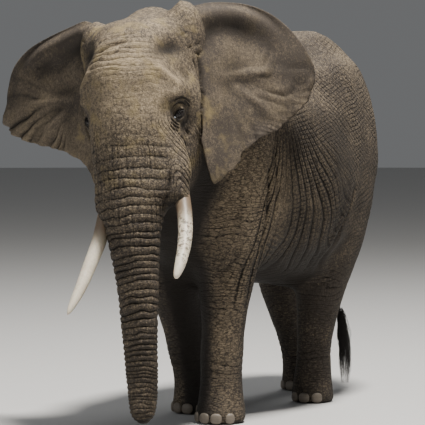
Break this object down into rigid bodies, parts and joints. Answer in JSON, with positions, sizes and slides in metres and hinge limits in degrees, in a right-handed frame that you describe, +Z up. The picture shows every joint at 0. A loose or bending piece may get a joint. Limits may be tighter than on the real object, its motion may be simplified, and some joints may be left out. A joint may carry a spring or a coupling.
{
  "type": "african bush elephant",
  "caption": "Life-size still model of an adult male African bush elephant standing in mid-stride, head turned, ears spread, trunk hanging, on four flat soles.",
  "frame": {"origin": "on the ground under the middle of the whole body's box", "axes": "+Z up, -Y the way the elephant faces along its spine, +X its own left side"},
  "size_m": [2.303, 4.4254, 3.3067],
  "materials": {
    "skin": "dry, deeply wrinkled grey-brown skin, dusted paler on the head",
    "ivory": "worn ivory, satin, stained towards the tip",
    "eye": "wet, dark brown",
    "nail": "dull horn, scuffed",
    "hair": "stiff black hair"
  },
  "bodies": {
    "root": {"upper_arm_left": "skin", "forearm_left": "skin", "forefoot_left": "skin", "upper_arm_right": "skin", "forearm_right": "skin", "forefoot_right": "skin", "thigh_left": "skin", "shank_left": "skin", "hindfoot_left": "skin", "thigh_right": "skin", "shank_right": "skin", "hindfoot_right": "skin", "toenail_fore_left_1": "nail", "toenail_fore_left_2": "nail", "toenail_fore_left_3": "nail", "toenail_fore_left_4": "nail", "toenail_hind_left_1": "nail", "toenail_hind_left_2": "nail", "toenail_hind_left_3": "nail", "toenail_fore_right_1": "nail", "toenail_fore_right_2": "nail", "toenail_fore_right_3": "nail", "toenail_fore_right_4": "nail", "toenail_hind_right_1": "nail", "toenail_hind_right_2": "nail", "toenail_hind_right_3": "nail", "chest": "skin", "belly": "skin", "haunch": "skin", "neck": "skin", "trunk_upper": "skin", "trunk_middle": "skin", "trunk_lower": "skin", "trunk_tip": "skin", "lower_jaw": "skin", "eye_left": "eye", "eye_right": "eye", "tusk_left": "ivory", "tusk_right": "ivory", "head": "skin", "ear_left": "skin", "ear_right": "skin", "tail_upper": "skin", "tail_lower": "skin", "tail_tuft": "hair"}
  },
  "joints": []
}
